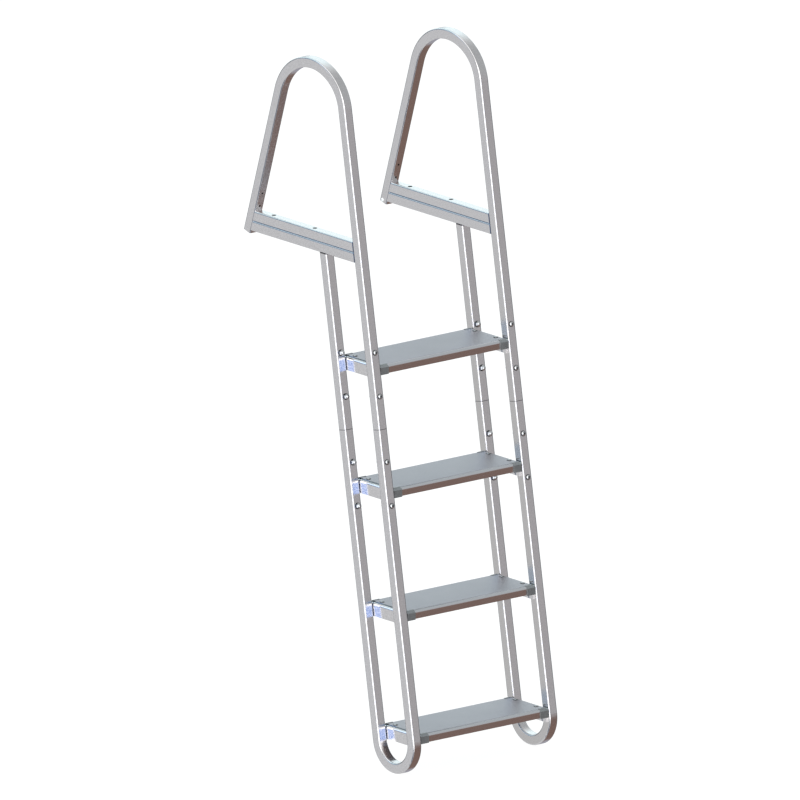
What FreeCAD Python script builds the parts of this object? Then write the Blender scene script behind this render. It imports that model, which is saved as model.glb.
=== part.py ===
import FreeCAD, Part
import Sketcher
import math
import os

# Dock ladder: two side frames of bent square tube joined by four treads.
# The origin is the underside of the left deck bar, midway between its two bolt holes.
# X runs across to the right frame, Y towards the dock, Z up from the deck.

doc = FreeCAD.newDocument("DockLadder")
sizes = doc.addObject("Spreadsheet::Sheet", "Sizes")

SIZES = [
    ("tube_size", 25.4, "side of the square tube"),
    ("tube_wall", 2.0, "wall of the square tube"),
    ("tube_corner", 3.8, "outer corner radius of the square tube"),
    ("frame_spacing", 418.7, "left to right frame, centre to centre"),
    ("rail_lean_deg", 9.76, "lean of the rails from the vertical"),
    ("leg_lean_deg", 17.2, "lean of the rear leg from the vertical"),
    ("rail_pitch", 132.1, "front rail to rear rail, level, centre to centre"),
    ("rail_face", 239.85, "origin to the front rail's dock-side face at the deck"),
    ("leg_face", 149.5, "origin to the rear leg's front face at the deck"),
    ("toe_drop", 3.5, "middle of the leg's foot below the deck"),
    ("seam_drop", 393.65, "front seam below the deck"),
    ("rear_seam_drop", 26.2, "rear seam below the front seam"),
    ("front_bend_radius", 101.7, "centre-line radius of the handle's front bend"),
    ("front_bend_turn_deg", 41.0, "turn of the handle's front bend"),
    ("rear_bend_radius", 127.7, "centre-line radius of the handle's rear bend"),
    ("loop_straight", 753.3, "front seam to the start of the bottom bend"),
    ("bolt_spacing", 153.5, "between a deck bar's two bolt holes"),
    ("bolt_hole", 8.0, "diameter of the deck-bolt holes"),
    ("seat_depth", 0.5, "recess in the lower bar for the rear rail's end"),
    ("seat_clearance", 0.1, "play of the rear rail in its seat"),
    ("leg_hole", 5.0, "diameter of the two small holes in the leg"),
    ("leg_hole_start", 72.9, "foot of the leg to its first small hole"),
    ("leg_hole_pitch", 34.5, "between the leg's two small holes"),
    ("splice_near", 79.0, "seam to the nearer splice bolt"),
    ("splice_far", 184.5, "seam to the further splice bolt"),
    ("splice_hole", 6.6, "diameter of the splice-bolt holes"),
    ("sleeve_clearance", 0.15, "play of a sleeve in its tube, each side"),
    ("sleeve_wall", 2.0, "wall of a splice sleeve"),
    ("sleeve_corner", 1.0, "outer corner radius of a splice sleeve"),
    ("sleeve_end", 20.0, "sleeve past its furthest bolt"),
    ("first_step_drop", 243.3, "top of the first tread below the deck"),
    ("step_rise", 292.1, "tread top to tread top"),
    ("tread_gap", 4.5, "end of a tread to the rails' inner face"),
    ("tread_depth", 140.0, "depth of a tread, front to rear"),
    ("tread_lip", 21.6, "height of a tread's lips"),
    ("tread_sheet", 2.5, "thickness of a tread"),
    ("tread_round", 7.0, "outer radius of a tread's long edges"),
    ("tread_setback", 2.0, "tread front behind the front rail's front face"),
    ("angle_height", 33.2, "height of a side angle"),
    ("angle_width", 30.0, "width of a side angle's top leg"),
    ("angle_side_wall", 4.0, "thickness of a side angle's upright leg"),
    ("angle_top_wall", 3.2, "thickness of a side angle's top leg"),
    ("angle_round", 7.0, "outer bend radius of a side angle"),
    ("angle_inset", 3.5, "side angle's end inside the tread's edge"),
    ("cap_width", 24.0, "width of a corner cap"),
    ("cap_depth", 8.5, "depth of a corner cap's top, from the tread's edge"),
    ("cap_drop", 22.8, "height of a corner cap's face below the tread top"),
    ("cap_face_wall", 2.8, "thickness of a corner cap's face"),
    ("cap_top_wall", 0.8, "thickness of a corner cap's top"),
    ("cap_crease", 5.0, "crease of a corner cap below the tread top"),
    ("cap_slope", 4.5, "depth of a corner cap's sloped edge behind the tread's edge"),
    ("cap_bevel", 5.0, "bevel of a corner cap beside the rail"),
    ("cap_clearance", 0.3, "play between a corner cap and the rails"),
    ("screw_inset", 12.5, "tread screw from the rail's inner face"),
    ("screw_edge", 31.0, "tread screw from the tread's front or rear edge"),
    ("screw_hole", 5.0, "diameter of the tread-screw holes"),
    ("cut_margin", 5.0, "reach of the cutting outlines past the metal"),
]

for row, (alias, number, note) in enumerate(SIZES, start=1):
    sizes.set("A%d" % row, str(number))
    sizes.set("B%d" % row, note)
    sizes.setAlias("A%d" % row, alias)
doc.recompute()

LEAN = "(Sizes.rail_lean_deg * 1 deg)"
LEG = "(Sizes.leg_lean_deg * 1 deg)"
HALF_TUBE = "(Sizes.tube_size / 2)"
LEVEL_TUBE = "(Sizes.tube_size / cos" + LEAN + ")"
FRONT_CENTRE = "(-Sizes.rail_face - " + LEVEL_TUBE + " / 2)"
SEAM_Z = "(-Sizes.seam_drop)"
SEAM_Y = "(" + FRONT_CENTRE + " - Sizes.seam_drop * tan" + LEAN + ")"
REAR_SEAM_Z = "(-Sizes.seam_drop - Sizes.rear_seam_drop)"
REAR_SEAM_Y = "(" + FRONT_CENTRE + " + Sizes.rail_pitch + " + REAR_SEAM_Z + " * tan" + LEAN + ")"
SQUARE_PITCH = "(Sizes.rail_pitch * cos" + LEAN + ")"
REAR_LEG_RISE = "(Sizes.rail_pitch * sin" + LEAN + " - Sizes.rear_seam_drop / cos" + LEAN + ")"
LEG_CENTRE = "(Sizes.leg_face + " + HALF_TUBE + " / cos" + LEG + ")"
TOE_Y = "(" + LEG_CENTRE + " + Sizes.toe_drop * tan" + LEG + " - " + SEAM_Y + ")"
TOE_Z = "(Sizes.seam_drop - Sizes.toe_drop)"
INNER_FACE = "(Sizes.tube_size / 2)"


def value(expression):
    """Number an expression gives with the present sizes."""
    return float(sizes.evalExpression(expression))


def bind(item, prop, expression):
    """Tie a property to an expression on the size sheet."""
    item.setExpression(prop, expression)


def new_body(label):
    """Start a body for one sub-part."""
    body = doc.addObject("PartDesign::Body", label)
    body.Label = label
    return body


def place(body, across, along, height, lean=False):
    """Put a body at expressions for X, Y and Z, leaning with the rails if asked."""
    bind(body, "Placement.Base.x", across)
    bind(body, "Placement.Base.y", along)
    bind(body, "Placement.Base.z", height)
    if lean:
        body.Placement = FreeCAD.Placement(FreeCAD.Vector(), FreeCAD.Rotation(FreeCAD.Vector(1, 0, 0), -1))
        bind(body, "Placement.Rotation.Angle", "-Sizes.rail_lean_deg * 1 deg")


def new_sketch(body, name, role):
    """Start a sketch on one of the body's own origin planes."""
    sketch = body.newObject("Sketcher::SketchObject", name)
    plane = [item for item in body.Origin.OriginFeatures if item.Role == role][0]
    sketch.AttachmentSupport = [(plane, "")]
    sketch.MapMode = "FlatFace"
    return sketch


def dimension(sketch, constraint, expression):
    """Add a named constraint and bind it to an expression."""
    index = sketch.addConstraint(constraint)
    name = "Size%d" % index
    sketch.renameConstraint(index, name)
    bind(sketch, "Constraints." + name, expression)


def add_rounded_square(sketch, width, radius):
    """Draw a square with rounded corners about the sketch origin."""
    half = value(width) / 2
    bend = value(radius)
    flat = half - bend
    first = sketch.GeometryCount
    ends = [(-flat, -half, flat, -half), (half, -flat, half, flat),
            (flat, half, -flat, half), (-half, flat, -half, -flat)]
    for x0, y0, x1, y1 in ends:
        sketch.addGeometry(Part.LineSegment(FreeCAD.Vector(x0, y0, 0), FreeCAD.Vector(x1, y1, 0)), False)
    centres = [(flat, -flat), (flat, flat), (-flat, flat), (-flat, -flat)]
    for turn, (x0, y0) in enumerate(centres):
        circle = Part.Circle(FreeCAD.Vector(x0, y0, 0), FreeCAD.Vector(0, 0, 1), bend)
        start = math.radians(90 * turn - 90)
        sketch.addGeometry(Part.ArcOfCircle(circle, start, start + math.pi / 2), False)
    for side in range(4):
        line = first + side
        arc = first + 4 + side
        after = first + (side + 1) % 4
        sketch.addConstraint(Sketcher.Constraint("Tangent", line, 2, arc, 1))
        sketch.addConstraint(Sketcher.Constraint("Tangent", arc, 2, after, 1))
    for side, kind in enumerate(("Horizontal", "Vertical", "Horizontal", "Vertical")):
        sketch.addConstraint(Sketcher.Constraint(kind, first + side))
    for arc in range(first + 4, first + 7):
        sketch.addConstraint(Sketcher.Constraint("Equal", arc, arc + 1))
    sketch.addConstraint(Sketcher.Constraint("Symmetric", first + 4, 3, first + 6, 3, -1, 1))
    dimension(sketch, Sketcher.Constraint("DistanceX", first + 3, 1, first + 1, 1, 2 * half), width)
    dimension(sketch, Sketcher.Constraint("DistanceY", first, 1, first + 2, 1, 2 * half), width)
    dimension(sketch, Sketcher.Constraint("Radius", first + 4, bend), radius)


def add_outline(sketch, corners):
    """Draw a closed outline of level and upright lines; a corner is (across, up, radius or None)."""
    count = len(corners)
    points = [FreeCAD.Vector(value(across), value(up), 0) for across, up, _ in corners]
    bends = [value(radius) if radius else 0.0 for _, _, radius in corners]
    first = sketch.GeometryCount
    for k in range(count):
        after = (k + 1) % count
        along = (points[after] - points[k]).normalize()
        start = points[k] + along * bends[k]
        end = points[after] - along * bends[after]
        sketch.addGeometry(Part.LineSegment(start, end), False)
    for k in range(count):
        before = (k - 1) % count
        kind, axis, place_at = ("Vertical", "DistanceX", corners[k][0])
        if abs(points[(k + 1) % count].y - points[k].y) < 1e-6:
            kind, axis, place_at = ("Horizontal", "DistanceY", corners[k][1])
        sketch.addConstraint(Sketcher.Constraint(kind, first + k))
        offset = points[k].x if axis == "DistanceX" else points[k].y
        dimension(sketch, Sketcher.Constraint(axis, -1, 1, first + k, 1, offset), place_at)
        if not bends[k]:
            sketch.addConstraint(Sketcher.Constraint("Coincident", first + before, 2, first + k, 1))
            continue
        inward = (points[before] - points[k]).normalize()
        onward = (points[(k + 1) % count] - points[k]).normalize()
        centre = points[k] + (inward + onward) * bends[k]
        begin = -onward
        finish = -inward
        left_turn = (inward.y * onward.x - inward.x * onward.y) > 0
        if not left_turn:
            begin, finish = finish, begin
        start = math.atan2(begin.y, begin.x)
        stop = math.atan2(finish.y, finish.x)
        circle = Part.Circle(centre, FreeCAD.Vector(0, 0, 1), bends[k])
        arc = sketch.addGeometry(Part.ArcOfCircle(circle, start, stop), False)
        near, far = (1, 2) if left_turn else (2, 1)
        sketch.addConstraint(Sketcher.Constraint("Tangent", first + before, 2, arc, near))
        sketch.addConstraint(Sketcher.Constraint("Tangent", arc, far, first + k, 1))
        dimension(sketch, Sketcher.Constraint("Radius", arc, bends[k]), corners[k][2])


def add_tube_ring(sketch, width, wall, radius):
    """Draw the section of an extruded square tube: rounded outside, sharp inside."""
    add_rounded_square(sketch, width, radius)
    bore = "((" + width + ") / 2 - " + wall + ")"
    add_outline(sketch, [("-" + bore, "-" + bore, None), (bore, "-" + bore, None),
                         (bore, bore, None), ("-" + bore, bore, None)])


def add_polygon(sketch, corners):
    """Draw a closed polygon; a corner is a pair of expressions (across, up)."""
    count = len(corners)
    points = [FreeCAD.Vector(value(across), value(up), 0) for across, up in corners]
    first = sketch.GeometryCount
    for k in range(count):
        sketch.addGeometry(Part.LineSegment(points[k], points[(k + 1) % count]), False)
    for k in range(count):
        sketch.addConstraint(Sketcher.Constraint("Coincident", first + k, 2, first + (k + 1) % count, 1))
    for k, (across, up) in enumerate(corners):
        dimension(sketch, Sketcher.Constraint("DistanceX", -1, 1, first + k, 1, points[k].x), across)
        dimension(sketch, Sketcher.Constraint("DistanceY", -1, 1, first + k, 1, points[k].y), up)


def add_holes(sketch, places, diameter):
    """Draw round holes; a place is a pair of expressions (across, up)."""
    for across, up in places:
        centre = FreeCAD.Vector(value(across), value(up), 0)
        circle = Part.Circle(centre, FreeCAD.Vector(0, 0, 1), value(diameter) / 2)
        index = sketch.addGeometry(circle, False)
        dimension(sketch, Sketcher.Constraint("DistanceX", -1, 1, index, 3, centre.x), across)
        dimension(sketch, Sketcher.Constraint("DistanceY", -1, 1, index, 3, centre.y), up)
        dimension(sketch, Sketcher.Constraint("Diameter", index, value(diameter)), diameter)


def pad(body, sketch, length, both_ways=False):
    """Extrude a sketch, about its plane if asked."""
    feature = body.newObject("PartDesign::Pad", sketch.Name + "Pad")
    feature.Profile = sketch
    feature.Midplane = both_ways
    bind(feature, "Length", length)
    return feature


def cut(body, sketch, length, both_ways=True, outward=False):
    """Cut a sketch through the body and check that metal was taken away."""
    before = body.Shape.Volume
    feature = body.newObject("PartDesign::Pocket", sketch.Name + "Cut")
    feature.Profile = sketch
    feature.Midplane = both_ways
    feature.Reversed = outward
    bind(feature, "Length", length)
    doc.recompute()
    if body.Shape.Volume >= before - 1e-3:
        raise ValueError("nothing was cut by " + feature.Name)
    return feature


def splice_holes(body, name, heights, across="0"):
    """Bore the splice-bolt holes front to rear through one rail."""
    sketch = new_sketch(body, name, "XZ_Plane")
    bind(sketch, "AttachmentOffset.Base.z", "-1 * " + across)
    add_holes(sketch, [("0", height) for height in heights], "Sizes.splice_hole")
    cut(body, sketch, "2 * Sizes.tube_size")


def handle_rail(side, across):
    """Upper front rail, arched handle and sloping rear leg in one bent tube."""
    body = new_body(side + "_handle_rail")
    place(body, across, SEAM_Y, SEAM_Z, lean=True)
    section = new_sketch(body, side + "_handle_section", "XY_Plane")
    add_tube_ring(section, "Sizes.tube_size", "Sizes.tube_wall", "Sizes.tube_corner")
    path = new_sketch(body, side + "_handle_path", "YZ_Plane")
    turn = math.radians(value("Sizes.front_bend_turn_deg"))
    total = math.radians(180 - value("Sizes.rail_lean_deg") - value("Sizes.leg_lean_deg"))
    small = value("Sizes.front_bend_radius")
    large = value("Sizes.rear_bend_radius")
    toe = FreeCAD.Vector(value(TOE_Y + " * cos" + LEAN + " - " + TOE_Z + " * sin" + LEAN),
                         value(TOE_Y + " * sin" + LEAN + " + " + TOE_Z + " * cos" + LEAN), 0)
    steps = [FreeCAD.Vector(small * (1 - math.cos(turn)), small * math.sin(turn), 0),
             FreeCAD.Vector(large * (math.cos(turn) - math.cos(total)),
                            large * (math.sin(total) - math.sin(turn)), 0)]
    down = FreeCAD.Vector(math.sin(total), math.cos(total), 0)
    leg_length = (toe.x - steps[0].x - steps[1].x) / down.x
    first_top = FreeCAD.Vector(0, toe.y - steps[0].y - steps[1].y - leg_length * down.y, 0)
    joint = first_top + steps[0]
    crown = joint + steps[1]
    small_centre = first_top + FreeCAD.Vector(small, 0, 0)
    large_centre = joint + (small_centre - joint) * (large / small)
    up = FreeCAD.Vector(0, 0, 1)
    path.addGeometry(Part.LineSegment(FreeCAD.Vector(0, 0, 0), first_top), False)
    path.addGeometry(Part.ArcOfCircle(Part.Circle(small_centre, up, small), math.pi - turn, math.pi), False)
    path.addGeometry(Part.ArcOfCircle(Part.Circle(large_centre, up, large), math.pi - total,
                                      math.pi - turn), False)
    path.addGeometry(Part.LineSegment(crown, toe), False)
    path.addConstraint(Sketcher.Constraint("Coincident", 0, 1, -1, 1))
    path.addConstraint(Sketcher.Constraint("Vertical", 0))
    path.addConstraint(Sketcher.Constraint("Tangent", 0, 2, 1, 2))
    path.addConstraint(Sketcher.Constraint("Tangent", 1, 1, 2, 2))
    path.addConstraint(Sketcher.Constraint("Tangent", 2, 1, 3, 1))
    dimension(path, Sketcher.Constraint("Radius", 1, small), "Sizes.front_bend_radius")
    dimension(path, Sketcher.Constraint("Radius", 2, large), "Sizes.rear_bend_radius")
    dimension(path, Sketcher.Constraint("Angle", 1, turn), "Sizes.front_bend_turn_deg * 1 deg")
    dimension(path, Sketcher.Constraint("Angle", 2, total - turn),
              "(180 - Sizes.rail_lean_deg - Sizes.leg_lean_deg - Sizes.front_bend_turn_deg) * 1 deg")
    dimension(path, Sketcher.Constraint("DistanceX", -1, 1, 3, 2, toe.x),
              TOE_Y + " * cos" + LEAN + " - " + TOE_Z + " * sin" + LEAN)
    dimension(path, Sketcher.Constraint("DistanceY", -1, 1, 3, 2, toe.y),
              TOE_Y + " * sin" + LEAN + " + " + TOE_Z + " * cos" + LEAN)
    doc.recompute()
    pipe = body.newObject("PartDesign::AdditivePipe", side + "_handle_pipe")
    pipe.Profile = section
    pipe.Spine = (path, [])
    doc.recompute()
    splice_holes(body, side + "_handle_splice", ["Sizes.splice_near", "Sizes.splice_far"])
    leg = new_sketch(body, side + "_leg_holes", "XY_Plane")
    leg.AttachmentOffset = FreeCAD.Placement(FreeCAD.Vector(), FreeCAD.Rotation(FreeCAD.Vector(1, 0, 0), 1))
    bind(leg, "AttachmentOffset.Rotation.Angle", "(90 + Sizes.rail_lean_deg + Sizes.leg_lean_deg) * 1 deg")
    bind(leg, "AttachmentOffset.Base.y", TOE_Y + " * cos" + LEAN + " - " + TOE_Z + " * sin" + LEAN)
    bind(leg, "AttachmentOffset.Base.z", TOE_Y + " * sin" + LEAN + " + " + TOE_Z + " * cos" + LEAN)
    add_holes(leg, [("0", "Sizes.leg_hole_start"), ("0", "Sizes.leg_hole_start + Sizes.leg_hole_pitch")],
              "Sizes.leg_hole")
    doc.recompute()
    cut(body, leg, "Sizes.tube_size", both_ways=False, outward=True)
    return body


def deck_bar(side, across, level, label):
    """Straight bar between the front rail and the leg, mitred to both, with two deck-bolt holes."""
    body = new_body(side + "_deck_bar_" + label)
    place(body, across, "0", "(" + str(level) + " + 0.5) * Sizes.tube_size")
    section = new_sketch(body, body.Name + "_section", "XZ_Plane")
    bind(section, "AttachmentOffset.Base.z", "-Sizes.leg_face")
    add_tube_ring(section, "Sizes.tube_size", "Sizes.tube_wall", "Sizes.tube_corner")
    pad(body, section, "Sizes.leg_face + Sizes.rail_face")
    doc.recompute()
    low = "(-" + HALF_TUBE + " - Sizes.cut_margin)"
    high = "(" + HALF_TUBE + " + Sizes.cut_margin)"
    rise = "((" + str(level) + " + 0.5) * Sizes.tube_size)"
    mitre = new_sketch(body, body.Name + "_mitres", "YZ_Plane")
    front = "-Sizes.rail_face + (" + rise + " + {0}) * tan" + LEAN
    rear = "Sizes.leg_face - (" + rise + " + {0}) * tan" + LEG
    far_front = "-Sizes.rail_face - Sizes.tube_size"
    far_rear = "Sizes.leg_face + Sizes.tube_size"
    add_polygon(mitre, [(far_front, low), (front.format(low), low), (front.format(high), high),
                        (far_front, high)])
    add_polygon(mitre, [(far_rear, low), (far_rear, high), (rear.format(high), high),
                        (rear.format(low), low)])
    cut(body, mitre, "2 * Sizes.tube_size")
    holes = new_sketch(body, body.Name + "_bolt_holes", "XY_Plane")
    add_holes(holes, [("0", "Sizes.bolt_spacing / 2"), ("0", "-Sizes.bolt_spacing / 2")], "Sizes.bolt_hole")
    cut(body, holes, "2 * Sizes.tube_size")
    if level == 0:
        seat = new_sketch(body, body.Name + "_seat", "YZ_Plane")
        middle = FRONT_CENTRE + " + Sizes.rail_pitch"
        reach = "(" + LEVEL_TUBE + " / 2 + Sizes.seat_clearance)"
        bottom = "-" + HALF_TUBE
        add_polygon(seat, [(middle + " - " + reach, low), (middle + " + " + reach, low),
                           (middle + " + " + reach, bottom + " + Sizes.seat_depth"),
                           (middle + " - " + reach, bottom + " + Sizes.seat_depth")])
        cut(body, seat, "2 * Sizes.tube_size")
    return body


def rear_rail(side, across):
    """Straight rail from the deck bar's seat down to the rear seam."""
    body = new_body(side + "_rear_rail")
    place(body, across, REAR_SEAM_Y, REAR_SEAM_Z, lean=True)
    section = new_sketch(body, body.Name + "_section", "XY_Plane")
    add_tube_ring(section, "Sizes.tube_size", "Sizes.tube_wall", "Sizes.tube_corner")
    drop = "(Sizes.seam_drop + Sizes.rear_seam_drop)"
    top = "((" + drop + " + Sizes.seat_depth) / cos" + LEAN + ")"
    pad(body, section, top + " + Sizes.tube_size")
    doc.recompute()
    mitre = new_sketch(body, body.Name + "_mitre", "YZ_Plane")
    slope = "Sizes.tube_size * tan" + LEAN
    high = top + " + 2 * Sizes.tube_size"
    add_polygon(mitre, [("-Sizes.tube_size", top + " - " + slope), ("Sizes.tube_size", top + " + " + slope),
                        ("Sizes.tube_size", high), ("-Sizes.tube_size", high)])
    cut(body, mitre, "2 * Sizes.tube_size")
    splice_holes(body, body.Name + "_splice", ["Sizes.splice_near", "Sizes.splice_far"])
    return body


def lower_loop(side, across):
    """Both lower rails and the round bottom bend in one bent tube."""
    body = new_body(side + "_lower_loop")
    place(body, across, SEAM_Y, SEAM_Z, lean=True)
    section = new_sketch(body, body.Name + "_section", "XY_Plane")
    add_tube_ring(section, "Sizes.tube_size", "Sizes.tube_wall", "Sizes.tube_corner")
    path = new_sketch(body, body.Name + "_path", "YZ_Plane")
    down = value("Sizes.loop_straight")
    pitch = value(SQUARE_PITCH)
    rise = value(REAR_LEG_RISE)
    circle = Part.Circle(FreeCAD.Vector(pitch / 2, -down, 0), FreeCAD.Vector(0, 0, 1), pitch / 2)
    path.addGeometry(Part.LineSegment(FreeCAD.Vector(0, 0, 0), FreeCAD.Vector(0, -down, 0)), False)
    path.addGeometry(Part.ArcOfCircle(circle, math.pi, 2 * math.pi), False)
    path.addGeometry(Part.LineSegment(FreeCAD.Vector(pitch, -down, 0), FreeCAD.Vector(pitch, rise, 0)), False)
    path.addConstraint(Sketcher.Constraint("Coincident", 0, 1, -1, 1))
    path.addConstraint(Sketcher.Constraint("Vertical", 0))
    path.addConstraint(Sketcher.Constraint("Tangent", 0, 2, 1, 1))
    path.addConstraint(Sketcher.Constraint("Tangent", 1, 2, 2, 1))
    path.addConstraint(Sketcher.Constraint("Vertical", 2))
    dimension(path, Sketcher.Constraint("DistanceY", -1, 1, 0, 2, -down), "-Sizes.loop_straight")
    dimension(path, Sketcher.Constraint("DistanceX", -1, 1, 2, 2, pitch), SQUARE_PITCH)
    dimension(path, Sketcher.Constraint("DistanceY", -1, 1, 2, 2, rise), REAR_LEG_RISE)
    doc.recompute()
    pipe = body.newObject("PartDesign::AdditivePipe", body.Name + "_pipe")
    pipe.Profile = section
    pipe.Spine = (path, [])
    doc.recompute()
    splice_holes(body, body.Name + "_front_splice", ["-Sizes.splice_near", "-Sizes.splice_far"])
    splice_holes(body, body.Name + "_rear_splice", [REAR_LEG_RISE + " - Sizes.splice_near",
                                                    REAR_LEG_RISE + " - Sizes.splice_far"], SQUARE_PITCH)
    return body


def sleeve(side, across, end, along, height):
    """Inner tube that joins an upper and a lower rail at their seam."""
    body = new_body(side + "_" + end + "_sleeve")
    place(body, across, along, height, lean=True)
    section = new_sketch(body, body.Name + "_section", "XY_Plane")
    width = "Sizes.tube_size - 2 * Sizes.tube_wall - 2 * Sizes.sleeve_clearance"
    add_tube_ring(section, width, "Sizes.sleeve_wall", "Sizes.sleeve_corner")
    pad(body, section, "2 * (Sizes.splice_far + Sizes.sleeve_end)", both_ways=True)
    doc.recompute()
    splice_holes(body, body.Name + "_splice", ["Sizes.splice_near", "Sizes.splice_far",
                                               "-Sizes.splice_near", "-Sizes.splice_far"])
    return body


def step_height(number):
    """Expression for the height of a tread's top."""
    return "(-Sizes.first_step_drop - " + str(number - 1) + " * Sizes.step_rise)"


def step_middle(number):
    """Expression for the front-to-rear middle of a tread."""
    return ("(-Sizes.rail_face - " + LEVEL_TUBE + " + " + step_height(number) + " * tan" + LEAN
            + " + Sizes.tread_setback + Sizes.tread_depth / 2)")


def tread(number):
    """Flat tread with rounded long edges and turned-down lips."""
    body = new_body("step_%d_tread" % number)
    place(body, "Sizes.frame_spacing / 2", step_middle(number), step_height(number))
    section = new_sketch(body, body.Name + "_section", "YZ_Plane")
    half = "Sizes.tread_depth / 2"
    inner = "(" + half + " - Sizes.tread_sheet)"
    bend = "Sizes.tread_round"
    inner_bend = "(Sizes.tread_round - Sizes.tread_sheet)"
    add_outline(section, [("-" + half, "-Sizes.tread_lip", None), ("-" + half, "0", bend),
                          (half, "0", bend), (half, "-Sizes.tread_lip", None),
                          (inner, "-Sizes.tread_lip", None), (inner, "-Sizes.tread_sheet", inner_bend),
                          ("-" + inner, "-Sizes.tread_sheet", inner_bend),
                          ("-" + inner, "-Sizes.tread_lip", None)])
    clear_width = "(Sizes.frame_spacing - Sizes.tube_size)"
    pad(body, section, clear_width + " - 2 * Sizes.tread_gap", both_ways=True)
    doc.recompute()
    across = "(" + clear_width + " / 2 - Sizes.screw_inset)"
    along = "(" + half + " - Sizes.screw_edge)"
    holes = new_sketch(body, body.Name + "_screw_holes", "XY_Plane")
    add_holes(holes, [(across, along), (across, "-" + along), ("-" + across, along),
                      ("-" + across, "-" + along)], "Sizes.screw_hole")
    cut(body, holes, "4 * Sizes.tread_sheet")
    return body


def angle(number, side, across, hand):
    """Side angle: an upright leg against the rails and a level leg under the tread."""
    body = new_body("step_%d_%s_angle" % (number, side))
    place(body, across + " + " + hand + " * " + INNER_FACE, step_middle(number),
          step_height(number) + " - Sizes.tread_sheet")
    section = new_sketch(body, body.Name + "_section", "XZ_Plane")
    wall = hand + " * Sizes.angle_side_wall"
    width = hand + " * Sizes.angle_width"
    add_outline(section, [("0", "-Sizes.angle_height", None), (wall, "-Sizes.angle_height", None),
                          (wall, "-Sizes.angle_top_wall", "Sizes.angle_round - Sizes.angle_side_wall"),
                          (width, "-Sizes.angle_top_wall", None), (width, "0", None),
                          ("0", "0", "Sizes.angle_round")])
    pad(body, section, "Sizes.tread_depth - 2 * Sizes.angle_inset", both_ways=True)
    doc.recompute()
    holes = new_sketch(body, body.Name + "_screw_holes", "XY_Plane")
    inset = hand + " * Sizes.screw_inset"
    along = "(Sizes.tread_depth / 2 - Sizes.screw_edge)"
    add_holes(holes, [(inset, along), (inset, "-" + along)], "Sizes.screw_hole")
    cut(body, holes, "4 * Sizes.angle_top_wall")
    return body


def cap(number, side, across, hand, end, facing):
    """Corner cap: a face over the lip, a sloped edge and a short top, bevelled beside the rail."""
    body = new_body("step_%d_%s_%s_cap" % (number, side, end))
    reach = "(" + INNER_FACE + " + Sizes.cap_clearance + Sizes.cap_width / 2)"
    place(body, across + " + " + hand + " * " + reach,
          step_middle(number) + " - " + facing + " * Sizes.tread_depth / 2", step_height(number))
    section = new_sketch(body, body.Name + "_section", "YZ_Plane")
    outside = "-" + facing + " * Sizes.cap_face_wall"
    depth = facing + " * Sizes.cap_depth"
    add_outline(section, [(outside, "-Sizes.cap_drop", None), (outside, "Sizes.cap_top_wall", None),
                          (depth, "Sizes.cap_top_wall", None), (depth, "0", None),
                          ("0", "0", "Sizes.tread_round"), ("0", "-Sizes.cap_drop", None)])
    pad(body, section, "Sizes.cap_width", both_ways=True)
    doc.recompute()
    slope = new_sketch(body, body.Name + "_slope", "YZ_Plane")
    behind = facing + " * Sizes.cap_slope"
    past = "-" + facing + " * (Sizes.cap_face_wall + Sizes.cut_margin)"
    above = "Sizes.cap_top_wall + Sizes.cut_margin"
    add_polygon(slope, [(outside, "-Sizes.cap_crease"), (behind, "Sizes.cap_top_wall"), (behind, above),
                        (past, above), (past, "-Sizes.cap_crease")])
    cut(body, slope, "2 * Sizes.cap_width")
    bevel = new_sketch(body, body.Name + "_bevel", "XZ_Plane")
    edge = "-" + hand + " * Sizes.cap_width / 2"
    inner = hand + " * (Sizes.cap_bevel - Sizes.cap_width / 2)"
    beyond = "-" + hand + " * (Sizes.cap_width / 2 + Sizes.cut_margin)"
    low = "Sizes.cap_top_wall - Sizes.cap_bevel"
    add_polygon(bevel, [(edge, low), (inner, "Sizes.cap_top_wall"), (inner, above), (beyond, above),
                        (beyond, low)])
    cut(body, bevel, "4 * Sizes.cap_depth")
    return body


SIDES = [("left", "0", "1"), ("right", "Sizes.frame_spacing", "-1")]
ENDS = [("front", "1"), ("rear", "-1")]
bodies = []
for side, across, hand in SIDES:
    bodies.append(handle_rail(side, across))
    bodies.append(deck_bar(side, across, 1, "upper"))
    bodies.append(deck_bar(side, across, 0, "lower"))
    bodies.append(rear_rail(side, across))
    bodies.append(lower_loop(side, across))
    bodies.append(sleeve(side, across, "front", SEAM_Y, SEAM_Z))
    bodies.append(sleeve(side, across, "rear", REAR_SEAM_Y, REAR_SEAM_Z))
for number in range(1, 5):
    bodies.append(tread(number))
    for side, across, hand in SIDES:
        bodies.append(angle(number, side, across, hand))
        for end, facing in ENDS:
            bodies.append(cap(number, side, across, hand, end, facing))
doc.recompute()

for item in doc.Objects:
    if "Invalid" in item.State or "Error" in item.State:
        raise ValueError("not rebuilt: " + item.Name)
os.makedirs("parts", exist_ok=True)
for body in bodies:
    if body.Shape.isNull() or not body.Shape.isValid() or len(body.Shape.Solids) != 1:
        raise ValueError("bad shape: " + body.Label)
    body.Shape.exportStep("parts/" + body.Label + ".step")
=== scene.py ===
import math

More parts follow.
